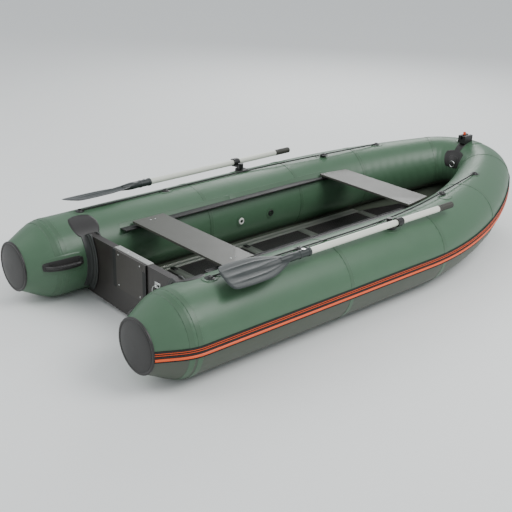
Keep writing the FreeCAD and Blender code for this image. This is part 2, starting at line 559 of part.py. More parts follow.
# ---- oars and oarlocks -------------------------------------------------------------------------
crest = "(2 * Sheet.tube_radius)"
oar_z = f"({crest} + Sheet.oar_lift)"
lock_x = f"({TRANSOM} + Sheet.lock_place)"
base_top = f"({crest} + Sheet.base_height)"
for side, sign in SIDES.items():
    pin_y = f"{sign} * (Sheet.tube_offset + Sheet.pin_outboard)"
    oar_y = f"{sign} * (Sheet.tube_offset + Sheet.oar_outboard)"
    disc = cylinder(f"{side}_lock_disc", "Sheet.base_radius", "Sheet.base_height + 20", lock_x, pin_y,
                    f"{base_top} - Sheet.base_height - 20")
    hole = cylinder(f"{side}_lock_hole", "Sheet.pin_radius + Sheet.pin_clearance", "60", lock_x, pin_y,
                    f"{base_top} - 30")
    relief = cylinder(f"{side}_lock_relief", "Sheet.tube_radius + Sheet.fit_clearance", "400",
                      f"{lock_x} - 200", f"{sign} * Sheet.tube_offset", "Sheet.tube_radius", "x")
    node(cut(f"{side}_lock_base", disc, fuse(f"{side}_lock_room", hole, relief)), f"{side}_oarlock_base")

    arm_z = f"({oar_z} - Sheet.ring_radius)"
    arm_room = "(Sheet.oar_outboard - Sheet.pin_outboard)"
    pin = cylinder(f"{side}_pin", "Sheet.pin_radius", f"{oar_z} - {base_top} + 5", lock_x, pin_y,
                   f"{base_top} - 5")
    collar = cylinder(f"{side}_collar", "Sheet.pin_radius + 9", "Sheet.ring_radius + 6", lock_x, pin_y, arm_z)
    arm = box(f"{side}_arm", "Sheet.ring_length * 0.7", arm_room, "14", f"{lock_x} - Sheet.ring_length * 0.35",
              f"{sign} * (Sheet.tube_offset + Sheet.pin_outboard + {arm_room} / 2) - {arm_room} / 2", arm_z)
    ring = cylinder(f"{side}_ring", "Sheet.ring_radius", "Sheet.ring_length", f"{lock_x} - Sheet.ring_length / 2",
                    oar_y, oar_z, "x")
    bore = cylinder(f"{side}_ring_bore", "Sheet.shaft_radius + Sheet.fit_clearance", "Sheet.ring_length + 80",
                    f"{lock_x} - Sheet.ring_length / 2 - 40", oar_y, oar_z, "x")
    node(cut(f"{side}_lock", fuse(f"{side}_lock_body", pin, collar, arm, ring), bore), f"{side}_oarlock")

    inboard = f"Sheet.{side}_inboard"
    tip_x = f"({lock_x} + {inboard} - Sheet.oar_length)"
    socket_x = f"({tip_x} + Sheet.blade_length)"
    shaft_start = f"({socket_x} + Sheet.socket_length)"
    grip_start = f"({lock_x} + {inboard} - Sheet.grip_length)"
    node(cylinder(f"{side}_oar_shaft", "Sheet.shaft_radius", f"{grip_start} - {shaft_start}", shaft_start, oar_y,
                  oar_z, "x"), f"{side}_oar_shaft")
    node(cylinder(f"{side}_oar_grip", "Sheet.grip_radius", "Sheet.grip_length", grip_start, oar_y, oar_z, "x"),
         f"{side}_oar_grip")
    half = "Sheet.blade_width / 2"
    blade = plate(f"{side}_blade_board", "XY_Plane",
                  [("0", f"{sign} * -{half} * 0.85"), ("Sheet.blade_length * 0.1", f"{sign} * {half}"),
                   ("Sheet.blade_length * 0.62", f"{sign} * {half} * 0.94"),
                   ("Sheet.blade_length", f"{sign} * Sheet.socket_radius * 0.8"),
                   ("Sheet.blade_length", f"{sign} * -Sheet.socket_radius * 0.8"),
                   ("Sheet.blade_length * 0.6", f"{sign} * -{half} * 0.94"),
                   ("Sheet.blade_length * 0.03", f"{sign} * -{half}")], "Sheet.blade_thickness")
    blade.Placement = Placement(Vector(), Rotation(Vector(1, 0, 0), -sign * size("blade_roll")))
    bind(blade, x=tip_x, y=oar_y, z=f"{oar_z} - Sheet.blade_thickness / 2")
    socket = cylinder(f"{side}_socket", "Sheet.socket_radius", "Sheet.socket_length + 12", f"{socket_x} - 12",
                      oar_y, oar_z, "x")
    node(fuse(f"{side}_blade", blade, socket), f"{side}_oar_blade")

# ---- grab lines and their holders --------------------------------------------------------------
LINE_START, SECOND_HOLDER = 60, 640
LINE_END_STATION = 7
holders = []
for side, sign in SIDES.items():
    line_z = 2 * radius + size("line_lift")
    stern_end = Vector(transom + LINE_START, sign * offset, line_z)
    second = Vector(transom + SECOND_HOLDER, sign * offset, line_z)
    corner = Vector(bend_start, sign * offset, line_z)
    last = on_ring(bow_half[LINE_END_STATION], 90, size("line_lift"))
    bow_end = Vector(last.x, sign * last.y, last.z)
    third = corner + (bow_end - corner) * 0.5
    path = [stern_end, corner, bow_end]
    solid(f"{side}_grab_line", chain(path, size("line_radius")))
    channel = chain(path, size("line_radius") + gap)
    for point in (stern_end, second, third, bow_end):
        post = Part.makeCylinder(size("line_holder_radius"), 60,
                                 Vector(point.x, point.y, point.z + size("line_holder_height") / 2 - 60))
        bed = bow_room
        if point.x < bow_start:
            bed = Part.makeCylinder(radius + gap, 200, Vector(point.x - 100, sign * offset, radius), Vector(1, 0, 0))
        pieces = post.cut(bed).cut(channel).Solids
        holders.append(max(pieces, key=lambda piece: piece.CenterOfMass.z))
solid("line_holders", Part.makeCompound(holders))

# ---- valves, handles and bow fittings ----------------------------------------------------------
def valve(side, place, angle=180):
    """A round valve on the inner side of a side tube."""
    turn = math.radians(angle)
    out = Vector(0, SIDES[side] * math.cos(turn), math.sin(turn))
    foot = Vector(transom + place, SIDES[side] * offset, radius) + out * (radius - 4)
    body = Part.makeCylinder(size("valve_radius"), size("valve_height") + 4, foot, out)
    bed = Part.makeCylinder(radius + gap, 200, Vector(transom + place - 100, SIDES[side] * offset, radius),
                            Vector(1, 0, 0))
    return body.cut(bed)


solid("relief_valve", valve("port", 1046))
solid("air_valves", Part.makeCompound([valve("port", 1288), valve("starboard", 1288)]))

handles = []
handle_high = 172
for side, sign in SIDES.items():
    x_from = transom - size("handle_place")
    x_to = x_from + size("handle_length")
    patch = sector(side, x_from, x_to, handle_high - 14, handle_high + 14, radius + gap,
                   radius + size("patch_thickness"))
    bar_from = radius + size("handle_gap")
    bar_to = bar_from + size("handle_grip")
    bar = sector(side, x_from + 20, x_to - 20, handle_high - 3, handle_high + 3, bar_from, bar_to)
    posts = [sector(side, x, x + 18, handle_high - 3, handle_high + 3, radius + gap, bar_to)
             for x in (x_from + 20, x_to - 38)]
    handles.append(patch.fuse([bar] + posts).removeSplitter())
solid("carrying_handles", Part.makeCompound(handles))

stem = bow_half[-1]
stem_crest = stem[0].z + stem[3]
anchor_x = stem[0].x - 42
anchor_foot = stem_crest - 5
long_side = size("anchor_length")
wide = size("anchor_width")
block = Part.makeBox(long_side, wide, size("anchor_height") + 5, Vector(anchor_x - long_side / 2, -wide / 2, anchor_foot))
notch = Part.makeBox(long_side + 2, 16, 24, Vector(anchor_x - long_side / 2 - 1, -8, stem_crest + size("anchor_height") - 24))
solid("anchor_block", block.cut(notch).cut(bow_room))
knob_place = Vector(anchor_x + 6, wide / 2 - 13, stem_crest + size("anchor_height"))
solid("anchor_knob", Part.makeCylinder(12, 13, knob_place))

centre = stem[0]
def stem_band(angle_from, angle_to, width, inner, outer):
    """A band over the stem, across the tube; 90 degrees is the crest, 180 inboard."""
    start = math.radians(angle_from)
    out = Vector(math.cos(start), 0, math.sin(start))
    corners = [centre + out * r + Vector(0, y, 0) for y, r in
               ((-width / 2, inner), (width / 2, inner), (width / 2, outer), (-width / 2, outer))]
    return Part.Face(outline(corners)).revolve(centre, Vector(0, 1, 0), -(angle_to - angle_from))


stem_ring = stem[3]
strap = stem_band(112, 150, 30, stem_ring + 1.5, stem_ring + 4)
badge = stem_band(146, 186, 96, stem_ring + 1.5, stem_ring + 8)
solid("bow_strap", strap.fuse(badge).removeSplitter().cut(bow_room))
hang = math.radians(166)
ring_eye = centre + Vector(math.cos(hang), 0, math.sin(hang)) * (stem_ring + 8 + size("tow_ring_wire"))
hoop = Part.makeTorus(size("tow_ring_radius") * 0.65, size("tow_ring_wire"),
                      ring_eye - Vector(0, 0, size("tow_ring_radius") * 0.65), Vector(math.cos(hang), 0, math.sin(hang)))
saddle = Part.makeBox(9, 26, 14, ring_eye + Vector(-6, -13, -7))
solid("bow_ring", saddle.fuse(hoop).cut(doc.getObject("bow_strap").Shape).cut(bow_room))

doc.recompute()
for obj in doc.Objects:
    if "Invalid" in obj.State or "Error" in obj.State:
        raise SystemExit(f"{obj.Name} failed: {obj.State}")
for piece in NODES:
    if piece.Shape.isNull() or not piece.Shape.isValid() or piece.Shape.Volume <= 0:
        raise SystemExit(f"{piece.Label} has no valid shape")
os.makedirs("parts", exist_ok=True)
for piece in NODES:
    piece.Shape.exportStep(f"parts/{piece.Label}.step")
    print(piece.Label, len(piece.Shape.Solids), round(piece.Shape.Volume / 1000), "cm3")
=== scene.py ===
"""Keeled inflatable boat with a plywood transom, benches on rails and stowed oars. Metres; +X bow, +Y port."""
import math

import bmesh
import bpy
from mathutils import Matrix, Vector


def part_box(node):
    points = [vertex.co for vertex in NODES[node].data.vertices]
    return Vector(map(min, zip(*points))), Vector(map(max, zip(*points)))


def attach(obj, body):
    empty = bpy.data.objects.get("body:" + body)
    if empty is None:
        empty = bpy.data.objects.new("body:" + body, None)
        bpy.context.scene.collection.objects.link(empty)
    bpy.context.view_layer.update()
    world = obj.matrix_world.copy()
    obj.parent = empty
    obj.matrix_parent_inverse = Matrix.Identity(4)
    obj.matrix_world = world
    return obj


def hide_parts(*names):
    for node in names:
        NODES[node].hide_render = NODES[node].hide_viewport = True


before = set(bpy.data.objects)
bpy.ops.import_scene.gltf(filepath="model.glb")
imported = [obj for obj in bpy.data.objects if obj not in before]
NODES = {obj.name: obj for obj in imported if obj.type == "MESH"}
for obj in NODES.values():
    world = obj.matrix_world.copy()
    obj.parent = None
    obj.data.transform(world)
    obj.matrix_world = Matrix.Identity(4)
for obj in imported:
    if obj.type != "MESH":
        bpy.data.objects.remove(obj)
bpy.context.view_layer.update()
MM = 0.001
SIDES = {"port": 1, "starboard": -1}


# ---- materials ---------------------------------------------------------------------------------
def linear(colour):
    """An sRGB hex colour as linear RGBA."""
    parts = [int(colour[i:i + 2], 16) / 255 for i in (1, 3, 5)]
    return [c / 12.92 if c <= 0.04045 else ((c + 0.055) / 1.055) ** 2.4 for c in parts] + [1.0]


def add(tree, kind, links=None, **settings):
    """Adds a shader node; settings fill inputs or properties, links maps input names to outputs."""
    made = tree.nodes.new(kind)
    for key, value in settings.items():
        label = key.replace("_", " ")
        if hasattr(made, key) and label not in made.inputs:
            setattr(made, key, value)
        else:
            made.inputs[label].default_value = value
    for key, output in (links or {}).items():
        tree.links.new(made.inputs[key], output)
    return made


def material(name, colour, roughness, grain=2.0, depth=0.1, metallic=0.0, mottle=0.12, wave=None, coat=0.0,
             dust=0.0):
    """A surface with mottled colour, uneven gloss and a grain of that size in millimetres."""
    made = bpy.data.materials.new(name)
    made.use_nodes = True
    tree = made.node_tree
    tree.nodes.clear()
    place = add(tree, "ShaderNodeTexCoord").outputs["Object"]
    cloud = add(tree, "ShaderNodeTexNoise", {"Vector": place}, Scale=1 / (90 * MM), Detail=6.0, Roughness=0.6)
    fine = add(tree, "ShaderNodeTexNoise", {"Vector": place}, Scale=1 / (grain * MM), Detail=3.0)
    base = linear(colour)
    dark = [c * (1 - mottle) for c in base[:3]] + [1.0]
    light = [min(1, c * (1 + mottle)) for c in base[:3]] + [1.0]
    tone = add(tree, "ShaderNodeMix", {"Factor": cloud.outputs["Fac"]}, data_type="RGBA")
    tone.inputs[6].default_value = dark
    tone.inputs[7].default_value = light
    out_colour = tone.outputs[2]
    if dust:
        speck = add(tree, "ShaderNodeTexNoise", {"Vector": place}, Scale=1 / (14 * MM), Detail=8.0, Roughness=0.75)
        mask = add(tree, "ShaderNodeMapRange", {"Value": speck.outputs["Fac"]}, From_Min=0.52, From_Max=0.74,
                   To_Min=0.0, To_Max=dust)
        dusty = add(tree, "ShaderNodeMix", {"Factor": mask.outputs["Result"]}, data_type="RGBA")
        tree.links.new(dusty.inputs[6], out_colour)
        dusty.inputs[7].default_value = linear("#a8a79c")
        out_colour = dusty.outputs[2]
    height = fine.outputs["Fac"]
    if wave:
        lines = add(tree, "ShaderNodeTexWave", {"Vector": place}, bands_direction=wave[0],
                    Scale=1 / (wave[1] * MM) / 3.2, Distortion=wave[2], Detail=2.0)
        both = add(tree, "ShaderNodeMath", {0: lines.outputs["Fac"], 1: height}, operation="ADD")
        height = both.outputs[0]
    bump = add(tree, "ShaderNodeBump", {"Height": height}, Strength=depth, Distance=0.4 * MM)
    gloss = add(tree, "ShaderNodeMapRange", {"Value": cloud.outputs["Fac"]}, To_Min=max(0.02, roughness - 0.08),
                To_Max=min(1, roughness + 0.08))
    shader = add(tree, "ShaderNodeBsdfPrincipled",
                 {"Base Color": out_colour, "Roughness": gloss.outputs["Result"], "Normal": bump.outputs["Normal"]},
                 Metallic=metallic)
    shader.inputs["Coat Weight"].default_value = coat
    add(tree, "ShaderNodeOutputMaterial", {"Surface": shader.outputs["BSDF"]})
    return made


TUBE = material("pvc_coated_fabric_calendered", "#44624a", 0.4, grain=1.2, depth=0.16, mottle=0.07)
TAPE = material("pvc_seam_tape_glued", "#415d46", 0.38, grain=1.0, depth=0.2, mottle=0.06)
# A darker copy of the tube fabric as painted shade: the tube below the rub strake, and also the bottom sheet, the
# strips under the tubes and the keel tube.
SHADE_FABRIC = material("pvc_coated_fabric_painted_shade", "#474e43", 0.5, grain=1.2, depth=0.16, mottle=0.07)
BLACK = material("pvc_rubber_extruded_black", "#0f100f", 0.55, grain=1.5, depth=0.15)
GREY = material("pvc_rubber_extruded_grey", "#303331", 0.5, grain=1.5, depth=0.15)
ORANGE = material("pvc_stripe_extruded_orange", "#ec5a22", 0.45, grain=1.0, depth=0.08, mottle=0.05)
CAP = material("pvc_moulded_dark_grey", "#222120", 0.46, grain=1.3, depth=0.12)
BOARD = material("plywood_painted_warm_grey", "#484942", 0.42, grain=3.0, depth=0.25, wave=("Y", 9, 6.0),
                 mottle=0.05, coat=0.1)
TRANSOM = material("plywood_painted_charcoal", "#262220", 0.4, grain=3.0, depth=0.22, wave=("Y", 10, 5.0),
                   mottle=0.08, coat=0.1)
FLOOR = material("plywood_phenolic_film_pressed_mesh", "#201d1e", 0.4, grain=0.9, depth=0.5, wave=("X", 2.2, 0.0),
                 mottle=0.1, dust=0.1)
ALUMINIUM = material("aluminium_extruded_anodised", "#a3a69f", 0.38, grain=0.5, depth=0.12, metallic=0.85,
                     wave=("Y", 0.7, 0.4), mottle=0.05)
SHEET = material("aluminium_sheet_folded", "#c4c5c0", 0.3, grain=0.4, depth=0.1, metallic=0.95, mottle=0.06)
SHAFT = material("aluminium_tube_powder_coated_white", "#d6d9cd", 0.32, grain=1.0, depth=0.04, mottle=0.03)
BLADE = material("polypropylene_moulded_grey", "#252c2b", 0.4, grain=0.8, depth=0.14, mottle=0.06)
GRIP = material("polypropylene_moulded_grip_grey", "#35352f", 0.55, grain=0.8, depth=0.2)
PLASTIC = material("nylon_moulded_black", "#171817", 0.4, grain=0.8, depth=0.12)
PAD = material("polyethylene_moulded_grey", "#34312d", 0.45, grain=0.8, depth=0.2, mottle=0.06)
KNOB = material("nylon_moulded_orange_red", "#e4572f", 0.4, grain=0.8, depth=0.08)
STEEL = material("stainless_steel_drawn_polished", "#c3c5c3", 0.2, grain=0.5, depth=0.04, metallic=1.0)
ROPE = material("polyester_rope_braided_black", "#1c1e1d", 0.7, grain=1.6, depth=0.6, wave=("DIAGONAL", 3.0, 1.0))
WHITE = material("nylon_moulded_white", "#d9dad4", 0.4, grain=0.8, depth=0.06)


# ---- the surface of the buoyancy tube ----------------------------------------------------------
RADIUS, BOW_RADIUS, OFFSET = 218 * MM, 158 * MM, 570 * MM
CAP_RADIUS, STERN_X, CONE_END = 132 * MM, -1647 * MM, -1486 * MM
SHOULDER, STEM_BEND, STEM_X = math.radians(30.6), 281 * MM, 1499 * MM
LONG_BEND = (OFFSET - STEM_BEND * math.cos(SHOULDER)) / (1 - math.cos(SHOULDER))
BEND_X = STEM_X - LONG_BEND * math.sin(SHOULDER) - STEM_BEND * (1 - math.sin(SHOULDER))
RISE, RISE_POWER = 135 * MM, 1.9
STRAIGHT = BEND_X - STERN_X
LONG_ARC = LONG_BEND * SHOULDER
HALF = STRAIGHT + LONG_ARC + STEM_BEND * (math.pi / 2 - SHOULDER)
TRANSOM_X = -1291 * MM


def hull(s):
    """The tube at arc length s from the port stern: centre, outward, up, radius."""
    if s > HALF:
        centre, outward, up, ring = hull(2 * HALF - s)
        flip = Vector((1, -1, 1))
        return centre * flip, outward * flip, up * flip, ring
    if s < STRAIGHT:
        x, y, turn = STERN_X + s, OFFSET, 0.0
    elif s < STRAIGHT + LONG_ARC:
        turn = (s - STRAIGHT) / LONG_BEND
        x, y = BEND_X + LONG_BEND * math.sin(turn), OFFSET - LONG_BEND * (1 - math.cos(turn))
    else:
        turn = SHOULDER + (s - STRAIGHT - LONG_ARC) / STEM_BEND
        x = STEM_X - STEM_BEND * (1 - math.sin(turn))
        y = STEM_BEND * math.cos(turn)
    along = max(0.0, (x - BEND_X) / (STEM_X - BEND_X))
    ring = RADIUS + (BOW_RADIUS - RADIUS) * along ** 2
    share = (x - STERN_X) / (CONE_END - STERN_X)
    if share < 1.4:
        ring = CAP_RADIUS + (RADIUS - CAP_RADIUS) * (share - max(0.0, share - 0.6) ** 2 / 1.6)
    slope = RISE * RISE_POWER * along ** (RISE_POWER - 1) / (STEM_X - BEND_X) * math.cos(turn) if along else 0.0
    tangent = Vector((math.cos(turn), -math.sin(turn), slope)).normalized()
    outward = Vector((math.sin(turn), math.cos(turn), 0))
    return Vector((x, y, RADIUS + RISE * along ** RISE_POWER)), outward, outward.cross(tangent), ring


def on_hull(s, angle, extra=0.0):
    """A point on the tube: 0 degrees outboard, 90 up, 180 inboard; extra metres above the fabric."""
    centre, outward, up, ring = hull(s)
    if up.z < 0:
        up = -up
    turn = math.radians(angle)
    return centre + (outward * math.cos(turn) + up * math.sin(turn)) * (ring + extra)


def along(side, place):
    """Arc length of a place on a side tube, in metres forward of the transom's aft face."""
    s = TRANSOM_X + place - STERN_X
    return s if side == "port" else 2 * HALF - s


# ---- mesh pieces: each maker returns (points, faces) -------------------------------------------
def grid(rows, columns, point, closed_rows=False, closed_columns=False, flip=False):
    """A surface through point(row, column)."""
    points = [point(i, j) for i in range(rows) for j in range(columns)]
    faces = []
    for i in range(rows if closed_rows else rows - 1):
        for j in range(columns if closed_columns else columns - 1):
            k, n = (i + 1) % rows, (j + 1) % columns
            face = (i * columns + j, i * columns + n, k * columns + n, k * columns + j)
            faces.append(face[::-1] if flip else face)
    return points, faces


def patch(s_mid, a_mid, length, width, thick, corner=0.25, lift=0.0, steps=22):
    """A glued patch on the tube with rounded corners; width is measured round the ring."""
    ring = hull(s_mid)[3]

    def point(i, j):
        u, v = 2 * i / (steps - 1) - 1, 2 * j / (steps - 1) - 1
        edge = max(abs(u), abs(v))
        height = thick * (1 - max(0.0, (edge - 0.9) / 0.1) ** 2) + lift - (0.6 * MM if edge > 0.999 else 0)
        x = u * math.sqrt(1 - corner * v * v / 2)
        y = v * math.sqrt(1 - corner * u * u / 2)
        return on_hull(s_mid + x * length / 2, a_mid + math.degrees(y * width / 2 / ring), height)
    return grid(steps, steps, point)


def band(s_from, s_to, thick, a_from=0.0, a_to=360.0, steps=120):
    """A tape round the tube."""
    rows = [(s_from, -0.4 * MM), (s_from + 1.5 * MM, thick), (s_to - 1.5 * MM, thick), (s_to, -0.4 * MM)]

    def point(i, j):
        return on_hull(rows[i][0], a_from + (a_to - a_from) * j / steps, rows[i][1])
    return grid(4, steps + 1, point)


def turned(profile, origin, axis, steps=48):
    """A turned body from (radius, height) pairs."""
    spin = Vector((0, 0, 1)).rotation_difference(Vector(axis)).to_matrix()

    def point(i, j):
        turn = 2 * math.pi * j / steps
        r, h = profile[i]
        return Vector(origin) + spin @ Vector((r * math.cos(turn), r * math.sin(turn), h))
    return grid(len(profile), steps, point, closed_columns=True)


def pipe(points, radius, sides=16, closed=False, squash=1.0):
    """A round bar along points."""
    count = len(points)
    rings = []
    normal = None
    for i, place in enumerate(points):
        before = points[i - 1] if i or closed else place
        after = points[(i + 1) % count] if i < count - 1 or closed else place
        ahead = (after - before).normalized()
        if normal is None:
            normal = ahead.orthogonal().normalized()
        normal = (normal - ahead * normal.dot(ahead)).normalized()
        side = ahead.cross(normal)
        r = radius[i] if isinstance(radius, list) else radius
        rings.append([place + (normal * math.cos(t) + side * math.sin(t) * squash) * r
                      for t in (2 * math.pi * j / sides for j in range(sides))])
    return grid(count, sides, lambda i, j: rings[i][j], closed_rows=closed, closed_columns=True)


def block(low, high, round_by=3 * MM, turn=None, about=(0, 0, 0)):
    """A box with rounded edges, turned by a matrix about a point."""
    mesh = bmesh.new()
    bmesh.ops.create_cube(mesh, size=1)
    centre = (Vector(low) + Vector(high)) / 2
    size = Vector(high) - Vector(low)
    for vert in mesh.verts:
        vert.co = centre + vert.co * size
    if round_by:
        bmesh.ops.bevel(mesh, geom=mesh.edges[:], offset=round_by, segments=3, profile=0.5, affect="EDGES")
    mesh.verts.index_update()
    points = [v.co.copy() for v in mesh.verts]
    faces = [tuple(v.index for v in f.verts) for f in mesh.faces]
    mesh.free()
    if turn is not None:
        points = [Vector(about) + turn @ (p - Vector(about)) for p in points]
    return points, faces


def screw(place, axis, radius=4.5 * MM):
    """A pan head screw with a cross recess read as a small dish."""
    profile = [(0.0, 0.9 * MM), (radius * 0.3, 1.0 * MM), (radius * 0.36, 2.2 * MM), (radius * 0.8, 1.9 * MM),
               (radius, 1.0 * MM), (radius, -1 * MM)]
    return turned(profile, place, axis, 20)


def piece(name, chunks, finish, body="hull", nodes=(), sharp=35):
    """One object from several chunks of mesh; finish is a material or one per chunk."""
    points, faces, marks = [], [], []
    finishes = finish if isinstance(finish, list) else [finish]
    for number, chunk in enumerate(chunks):
        start = len(points)
        points += chunk[0]
        faces += [tuple(start + k for k in face) for face in chunk[1]]
        marks += [number if isinstance(finish, list) else 0] * len(chunk[1])
    mesh = bpy.data.meshes.new(name)
    mesh.from_pydata(points, [], faces)
    kinds = []
    for each in finishes:
        if each not in kinds:
            kinds.append(each)
            mesh.materials.append(each)
    for face, mark in zip(mesh.polygons, marks):
        face.material_index = kinds.index(finishes[mark])
        face.use_smooth = True
    tidy = bmesh.new()
    tidy.from_mesh(mesh)
    bmesh.ops.remove_doubles(tidy, verts=tidy.verts, dist=1e-6)
    bmesh.ops.recalc_face_normals(tidy, faces=tidy.faces)
    for edge in tidy.edges:
        if len(edge.link_faces) == 2 and edge.calc_face_angle(0) > math.radians(sharp):
            edge.smooth = False
    tidy.to_mesh(mesh)
    tidy.free()
    obj = bpy.data.objects.new(name, mesh)
    bpy.context.scene.collection.objects.link(obj)
    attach(obj, body)
    if nodes:
        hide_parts(*nodes)
    return obj


def finish_node(name, look, bevel=0.0):
    """Gives a CAD node its material and soft edges."""
    obj = NODES[name]
    for holder in obj.material_slots:
        holder.link = "OBJECT"
        holder.material = look
    if bevel:
        edge = obj.modifiers.new("edges", "BEVEL")
        edge.width = bevel
        edge.segments = 3
        edge.limit_method = "ANGLE"
        edge.angle_limit = math.radians(40)
        edge.harden_normals = False


# ---- buoyancy tube -----------------------------------------------------------------------------
SEAMS = [157 * MM, 198 * MM, 1180 * MM, STRAIGHT + 120 * MM, STRAIGHT + 700 * MM, STRAIGHT + LONG_ARC + 30 * MM]
SEAMS += [2 * HALF - s for s in SEAMS]


def fabric(s, angle):
    """Small swells and wrinkles of the inflated fabric."""
    near = min(abs(s - seam) for seam in SEAMS)
    pucker = 0.9 * MM * math.exp(-near / (38 * MM)) * math.sin(math.radians(angle) * 34 + s * 20)
    swell = 0.5 * MM * math.sin(s * 7.0 + math.radians(angle) * 3)
    turn = s if s < HALF else 2 * HALF - s
    bend = max(0.0, (turn - STRAIGHT - 0.2) / (HALF - STRAIGHT))
    inner = max(0.0, -math.cos(math.radians(angle))) ** 3
    crease = 2.4 * MM * bend * inner * math.sin(turn * 96 + math.sin(math.radians(angle) * 5))
    return pucker + swell + crease - 0.8 * MM


RING = 112
STEPS = 400
tube = grid(STEPS + 1, RING, lambda i, j: on_hull(2 * HALF * i / STEPS, 360 * j / RING,
                                                  fabric(2 * HALF * i / STEPS, 360 * j / RING)),
            closed_columns=True)
# The band below the rub strake takes the darker fabric copy: painted shade on the same fabric as above.
upper, shaded_faces = [], []
for number, face in enumerate(tube[1]):
    angle = (number % RING + 0.5) * 360 / RING
    (shaded_faces if 262 < angle < 356 else upper).append(face)
piece("tube_fabric", [(tube[0], upper), (tube[0], shaded_faces)], [TUBE, SHADE_FABRIC],
      nodes=("port_tube", "starboard_tube", "bow_tube"))
piece("seam_tapes", [band(s - 14 * MM, s + 14 * MM, 1.0 * MM) for s in SEAMS], TAPE)

for side, sign in SIDES.items():
    centre = (STERN_X, sign * OFFSET, RADIUS)
    steps = [(137, -2), (137.5, 3), (136.5, 6), (134, 7.6), (130, 7.8), (127, 6.6), (125, 5), (122, 4.6)]
    steps += [(122 * math.sqrt(1 - (k / 16) ** 2) + 0.01, 4.6 + 13 * (k / 16) ** 1.2) for k in range(1, 17)]
    cap = turned([(r * MM, h * MM) for r, h in steps], centre, (-1, 0, 0), 96)
    s = 0.0 if side == "port" else 2 * HALF
    piece(f"{side}_cap_moulding", [cap], CAP, nodes=(f"{side}_end_cap",))


# ---- rub strake: ribbed black band with orange piping ------------------------------------------
def swept(profile, s_from=1 * MM, s_to=2 * HALF - 1 * MM, steps=420):
    """A closed profile of (height, stand-off) in metres run along the outside of the tube."""
    def point(i, j):
        s = s_from + (s_to - s_from) * i / steps
        height, out = profile[j]
        return on_hull(s, math.degrees(height / hull(s)[3]), out)
    return grid(steps + 1, len(profile), point, closed_columns=True)


def ridge(low, high, out, root=0.5 * MM):
    """A strip with rounded edges."""
    soft = (high - low) * 0.18
    return [(low, root - 0.8 * MM), (low, out * 0.6), (low + soft, out), (high - soft, out), (high, out * 0.6),
            (high, root - 0.8 * MM)]


LEVEL = -4 * MM
LINES = [(-29, 29, 4.0, BLACK), (-27, -23, 6.2, BLACK), (-21, -7, 7.6, ORANGE), (-4, 4, 6.6, BLACK),
         (7.5, 10.5, 5.6, ORANGE), (12, 15, 5.6, BLACK), (16.5, 19.5, 5.4, ORANGE), (21, 28, 5.8, BLACK)]
strake = [swept(ridge(LEVEL + low * MM, LEVEL + high * MM, out * MM)) for low, high, out, look in LINES]
piece("rub_strake_profile", strake, [look for low, high, out, look in LINES],
      nodes=("rub_strake",))


# ---- bottom ------------------------------------------------------------------------------------
def bottom_row(s, t):
    """A point of the bottom fabric; t runs from the port edge over the keel to the starboard edge."""
    centre = hull(s)[0]
    along_bow = max(0.0, (centre.x - BEND_X) / (STEM_X - BEND_X))
    edge = on_hull(s, -180 + 48 + 30 * along_bow, -1 * MM)
    keel_z = 16 * MM + (195 - 16) * MM * along_bow ** 3
    y = edge.y * (1 - 2 * t)
    rise = abs(1 - 2 * t)
    belly = 6 * MM * math.sin(math.pi * rise) * (1 if along_bow < 0.9 else 0)
    return Vector((edge.x, y, keel_z + (edge.z - keel_z) * rise ** 1.1 + belly * 0.4))


# The bottom sheet, the strips under the tubes and the keel tube take the darker fabric copy, painted shade.
rows = [along("port", 49 * MM) + (HALF - 60 * MM - along("port", 49 * MM)) * i / 90 for i in range(91)]
bottom = grid(91, 41, lambda i, j: bottom_row(rows[i], j / 40))
piece("bottom_fabric_sheet", [bottom], SHADE_FABRIC, nodes=("bottom_skin",))
under = [grid(91, 9, lambda i, j, side=side: on_hull(rows[i] if side == "port" else 2 * HALF - rows[i],
                                                      -180 + 40 + j * 5, 1.2 * MM)) for side in SIDES]
piece("bottom_wear_strips", under, SHADE_FABRIC)
finish_node("keel_tube", SHADE_FABRIC)

# ---- transom -----------------------------------------------------------------------------------
finish_node("transom", TRANSOM, 4 * MM)
finish_node("motor_pad", PAD, 2 * MM)
finish_node("pad_strips", BLACK, 1.5 * MM)
finish_node("clamp_plate", SHEET, 0.8 * MM)
middle = TRANSOM_X + 20 * MM


def round_tube(side, profile, a_from, a_to, steps=44):
    """A profile of (x, stand-off) pairs carried round a side tube, with tapered ends."""
    def point(i, j):
        share = i / steps
        fade = min(1.0, share / 0.06, (1 - share) / 0.06)
        x, out = profile[j]
        turn = math.radians(a_from + (a_to - a_from) * share)
        r = RADIUS + (out if out < 6 * MM else 6 * MM + (out - 6 * MM) * max(0.12, math.sqrt(max(0, fade))))
        return Vector((x, SIDES[side] * (OFFSET + r * math.cos(turn)), RADIUS + r * math.sin(turn)))
    return grid(steps + 1, len(profile), point, closed_columns=True)


for side, sign in SIDES.items():
    lips = []
    for edge, way in ((TRANSOM_X - 0.5 * MM, -1), (TRANSOM_X + 40.5 * MM, 1)):
        outline = [(0, 0), (0, 50), (2.5, 52), (6, 52), (8.5, 49), (9, 34), (12.5, 31), (12.5, 27), (9, 24),
                   (10, 10), (20, 4.5), (36, 3), (38, 0)]
        lips.append(round_tube(side, [(edge + way * a * MM, b * MM) for a, b in outline], 138, 220))
    root = round_tube(side, [(TRANSOM_X - 1 * MM, 0), (TRANSOM_X - 1 * MM, 5.8 * MM), (TRANSOM_X + 41 * MM, 5.8 * MM),
                             (TRANSOM_X + 41 * MM, 0)], 138, 220)
    piece(f"{side}_holder_profile", lips + [root], GREY, nodes=(f"{side}_transom_holder",))
piece("transom_tube_patches",
      [patch(along(side, 15 * MM), 121, 165 * MM, 165 * MM, 2.4 * MM, 0.8) for side in SIDES], CAP,
      nodes=("transom_patches",))
